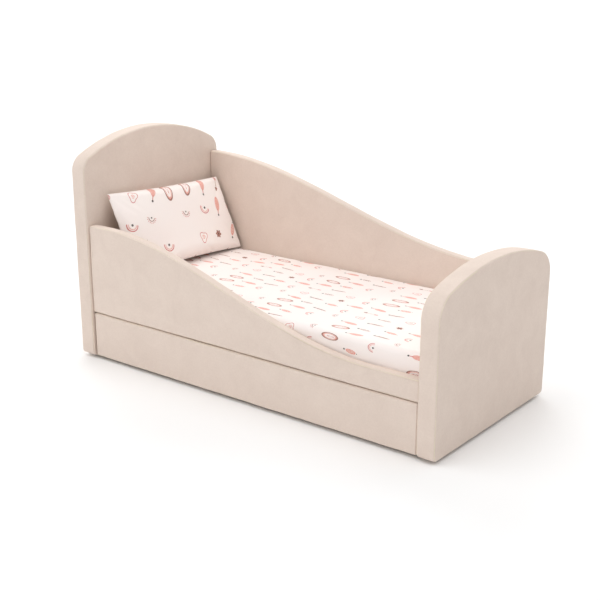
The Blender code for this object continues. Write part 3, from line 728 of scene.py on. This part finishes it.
def simulate(item, frames, pressure):
    """Blows the sewn cloth up with Blender's cloth solver and returns its points in the last frame."""
    cloth = item.modifiers.new("Cloth", "CLOTH")
    settings = cloth.settings
    settings.quality = 6
    settings.mass = 0.25
    settings.tension_stiffness = settings.compression_stiffness = 25
    settings.shear_stiffness = 8
    settings.bending_stiffness = 0.6
    settings.use_pressure = True
    settings.uniform_pressure_force = pressure
    settings.effector_weights.gravity = 0
    cloth.collision_settings.use_collision = False
    scene = bpy.context.scene
    cloth.point_cache.frame_start, cloth.point_cache.frame_end = 1, frames
    for number in range(1, frames + 1):
        scene.frame_set(number)
    graph = bpy.context.evaluated_depsgraph_get()
    shaped = item.evaluated_get(graph).to_mesh()
    points = np.empty(len(shaped.vertices) * 3, np.float32)
    shaped.vertices.foreach_get("co", points)
    item.evaluated_get(graph).to_mesh_clear()
    item.modifiers.remove(cloth)
    scene.frame_set(1)
    return points.reshape(-1, 3).astype(float)


def make_pillow(material):
    """The pillow: sewn cloth blown up by simulation, brought to its thickness, and leant on the headboard."""
    blank, quads, flat = pillow_blank()
    item = new_piece("pillow", blank, quads, "bed_frame", material, uv=flat)
    shaped = simulate(item, PILLOW_FRAMES, PILLOW_PRESSURE)
    shaped[:, 2] *= PILLOW_THICKNESS / np.ptp(shaped[:, 2])
    # Slump: the upper corner on the wall side sinks, and that end has slid a little towards the foot.
    far = 0.5 + flat[:, 0] / PILLOW_WIDTH
    shaped[:, 1] -= PILLOW_SLUMP * far ** 2 * (0.5 + flat[:, 1] / PILLOW_HEIGHT)
    slid = PILLOW_SLIDE * far
    low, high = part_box("pillowcase")
    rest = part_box("mattress")[1].z
    across, up, out = np.array([(0, 1, 0), (-sin(PILLOW_LEAN), 0, cos(PILLOW_LEAN)),
                                (cos(PILLOW_LEAN), 0, sin(PILLOW_LEAN))])
    foot = np.array((PILLOW_FOOT_X, (low.y + high.y) / 2, rest + PILLOW_LIFT))
    placed = foot + shaped[:, :1] * across + (shaped[:, 1:2] - shaped[:, 1].min()) * up + shaped[:, 2:] * out
    placed[:, 0] += slid
    item.data.vertices.foreach_set("co", placed.astype(np.float32).ravel())
    item.data.update()
    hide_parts("pillowcase", "pillow_insert")
    smooth = item.modifiers.new("Fine", "SUBSURF")
    smooth.levels = smooth.render_levels = 1
    return item


# ---------------------------------------------------------------- other materials

def surface(name, dark, light, scale, roughness, bump, metallic=0.0, stretch=(1, 1, 1), cells=False,
            plies=None):
    """A mottled surface: noise, or Voronoi cells, from dark to light, drawn out along one axis by stretch.

    plies is the axis across a plywood board. Faces that look another way show its 1.5 mm layers as stripes.
    """
    material, tree, shader = new_material(name, roughness, metallic)
    source = add(tree, "TexCoord").outputs
    drawn = add(tree, "Mapping", {"Vector": source["Object"], "Scale": stretch})
    if cells:
        pattern = add(tree, "TexVoronoi", {"Vector": drawn, "Scale": scale}).outputs["Distance"]
    else:
        pattern = add(tree, "TexNoise", {"Vector": drawn, "Scale": scale, "Detail": 5.0, "Distortion": 0.8})
        pattern = pattern.outputs[0]
    tone = add(tree, "ValToRGB", {"Fac": pattern})
    set_ramp(tone, (0.0, 0.8) if cells else (0.35, 0.68), (dark, light))
    colour = tone.outputs["Color"]
    if plies is not None:
        height = add(tree, "SeparateXYZ", {0: source["Object"]}).outputs[plies]
        layer = add(tree, "Math", {0: height, 1: 2 * pi / 0.003}, operation="MULTIPLY")
        layer = add(tree, "Math", {0: layer}, operation="SINE")
        facing = add(tree, "SeparateXYZ", {0: source["Normal"]}).outputs[plies]
        facing = add(tree, "Math", {0: facing}, operation="ABSOLUTE")
        edge = add(tree, "Math", {0: facing, 1: 0.5}, operation="LESS_THAN")
        stripe = add(tree, "Math", {0: layer, 1: edge}, operation="MULTIPLY", use_clamp=True)
        stripe = add(tree, "Math", {0: stripe, 1: 0.6}, operation="MULTIPLY")
        colour = add(tree, "Mix", {0: stripe, 6: colour, 7: linear("#A87C4E")}, data_type="RGBA").outputs[2]
    tree.links.new(colour, shader.inputs["Base Color"])
    relief = add(tree, "Bump", {"Height": pattern, "Strength": 0.5, "Distance": bump})
    tree.links.new(relief.outputs["Normal"], shader.inputs["Normal"])
    return material


def ticking():
    """Mattress ticking: an off-white twill of cotton and polyester, whose diagonal ribs catch the light."""
    material, tree, shader = new_material("quilted_cotton_ticking", 0.85, Sheen_Weight=0.1)
    place = add(tree, "TexCoord").outputs["Object"]
    tint = add(tree, "TexNoise", {"Vector": place, "Scale": 9.0, "Detail": 3.0})
    tone = add(tree, "ValToRGB", {"Fac": tint})
    set_ramp(tone, (0.0, 1.0), ("#E6E3DD", "#F1EFEB"))
    tree.links.new(tone.outputs["Color"], shader.inputs["Base Color"])
    ribs = add(tree, "TexWave", {"Vector": place, "Scale": 210.0}, bands_direction="DIAGONAL")
    bump = add(tree, "Bump", {"Height": ribs, "Strength": 0.3, "Distance": 0.0006})
    tree.links.new(bump.outputs["Normal"], shader.inputs["Normal"])
    return material


ALONG_X, ALONG_Y = (0.06, 1, 1), (1, 0.06, 1)


def finish_cad_nodes(velour_cloth, cotton, ticking_cloth):
    """Gives every CAD node the finish of its slot, with grain along each board and plies across it."""
    pine = ("#C9A26E", "#E3C79A", 55.0, 0.62, 0.0004)
    birch = ("#DCC5A2", "#E8D7BA", 48.0, 0.5, 0.0002)
    # Planed pine: warm yellow streaks of early and late wood along the batten.
    pine_along = surface("planed_pine_lengthwise", *pine, stretch=ALONG_X)
    pine_across = surface("planed_pine_crosswise", *pine, stretch=ALONG_Y)
    # Birch plywood: pale, fine-grained faces and striped edges.
    slat = surface("birch_plywood_slat", *birch, stretch=ALONG_Y, plies=2)
    side = surface("birch_plywood_drawer_side", *birch, stretch=ALONG_Y, plies=0)
    back = surface("birch_plywood_drawer_back", *birch, stretch=ALONG_X, plies=1)
    floor = surface("birch_plywood_drawer_floor", *birch, stretch=ALONG_X, plies=2)
    by_slot = {
        "velour": velour_cloth,
        # Cut foam: cream, matt, with open cells of about a millimetre.
        "foam": surface("cut_polyurethane_foam", "#D9CFAE", "#F2EAD2", 900.0, 0.97, 0.0008, cells=True),
        # Particle board: pressed chips of several browns, 3 to 5 mm long.
        "particle_board": surface("raw_particle_board", "#8F6F4A", "#CDAA7D", 260.0, 0.85, 0.0005, cells=True),
        # Zinc plating: cold grey metal with cloudy patches from the bath.
        "zinc_plated_steel": surface("zinc_plated_steel", "#9FA3A8", "#C6C9CC", 40.0, 0.34, 0.00005,
                                     metallic=1.0),
        # Moulded polypropylene: dark grey with a fine spark-eroded grain.
        "grey_plastic": surface("moulded_grey_polypropylene", "#3A3B3E", "#48494C", 700.0, 0.48, 0.0002),
        "mattress_ticking": ticking_cloth,
        "printed_cotton": cotton,
        # Pillow filling: white siliconised fibre, all clumps and hollows.
        "pillow_filling": surface("white_polyester_fibre", "#E8E6E1", "#F8F7F4", 140.0, 0.95, 0.002),
    }
    by_node = {"front_ledger": pine_along, "rear_ledger": pine_along, "head_batten": pine_across,
               "foot_batten": pine_across, "drawer_left_side": side, "drawer_right_side": side,
               "drawer_back": back, "drawer_bottom": floor}
    for part in frame["record"]["subparts"]:
        name, slot = part["node"], part["material_slot"]
        mesh = frame["nodes"][name].data
        mesh.materials.clear()
        mesh.materials.append(by_node.get(name) or (slat if name.startswith("slat_") else by_slot[slot]))


# ---------------------------------------------------------------- studio

def make_camera():
    """A long lens off the front corner of the foot end, looking down on the bed."""
    data = bpy.data.cameras.new("camera")
    data.sensor_width = 36.0
    data.lens = FOCAL_LENGTH
    camera = bpy.data.objects.new("camera", data)
    camera.location = CAMERA_PLACE
    camera.rotation_euler = (pi / 2 - CAMERA_PITCH, 0, CAMERA_YAW)
    bpy.context.scene.collection.objects.link(camera)
    bpy.context.scene.camera = camera


def make_studio():
    """A white floor under an even sky, with the softboxes as wide suns and the spot over the pillow."""
    scene = bpy.context.scene
    scene.view_settings.view_transform = "Standard"
    world = bpy.data.worlds.new("studio")
    scene.world = world
    world.use_nodes = True
    world.node_tree.nodes["Background"].inputs["Color"].default_value = (1, 1, 1, 1)
    world.node_tree.nodes["Background"].inputs["Strength"].default_value = SKY
    for name, (source, strength) in SOFTBOXES.items():
        data = bpy.data.lights.new(name, "SUN")
        data.energy, data.angle = strength * pi, SOFTBOX_SPREAD
        softbox = bpy.data.objects.new(name, data)
        softbox.rotation_euler = Vector(source).to_track_quat("Z", "Y").to_euler()
        scene.collection.objects.link(softbox)
    data = bpy.data.lights.new("pillow_spot", "SPOT")
    data.energy, data.shadow_soft_size = SPOT_POWER, SPOT_RADIUS
    data.spot_size, data.spot_blend = SPOT_CONE, 1.0
    spot = bpy.data.objects.new("pillow_spot", data)
    spot.location = SPOT_PLACE
    spot.rotation_euler = (SPOT_PLACE - SPOT_TARGET).to_track_quat("Z", "Y").to_euler()
    spot.visible_camera = False
    scene.collection.objects.link(spot)
    material, _, shader = new_material("white_floor", 0.9)
    shader.inputs["Base Color"].default_value = linear("#FBFBFB")
    mesh = bpy.data.meshes.new("floor")
    corners = [(-FLOOR_REACH, -FLOOR_REACH, 0), (FLOOR_REACH, -FLOOR_REACH, 0),
               (FLOOR_REACH, FLOOR_REACH, 0), (-FLOOR_REACH, FLOOR_REACH, 0)]
    mesh.from_pydata(corners, [], [(0, 1, 2, 3)])
    mesh.materials.append(material)
    floor = bpy.data.objects.new("floor", mesh)
    scene.collection.objects.link(floor)


make_camera()
make_studio()
velour_cloth, ticking_cloth, pattern = velour(), ticking(), nursery_print()
sheet_cotton = printed_cotton(pattern, "sheet_percale_cotton", SHEET_PRINT_TURN, SHEET_PRINT_SCALE, (0, 0, 0),
                              0.0, SHEET_GROUND)
pillow_cotton = printed_cotton(pattern, "pillow_percale_cotton", 0.0, (1, 1, 1), PILLOW_PRINT_SHIFT,
                               PILLOW_PRINT_TILT, PILLOW_GROUND)
make_upholstery(velour_cloth)
make_mattress(ticking_cloth)
make_fitted_sheet(sheet_cotton)
make_pillow(pillow_cotton)
finish_cad_nodes(velour_cloth, pillow_cotton, ticking_cloth)

bpy.context.view_layer.update()
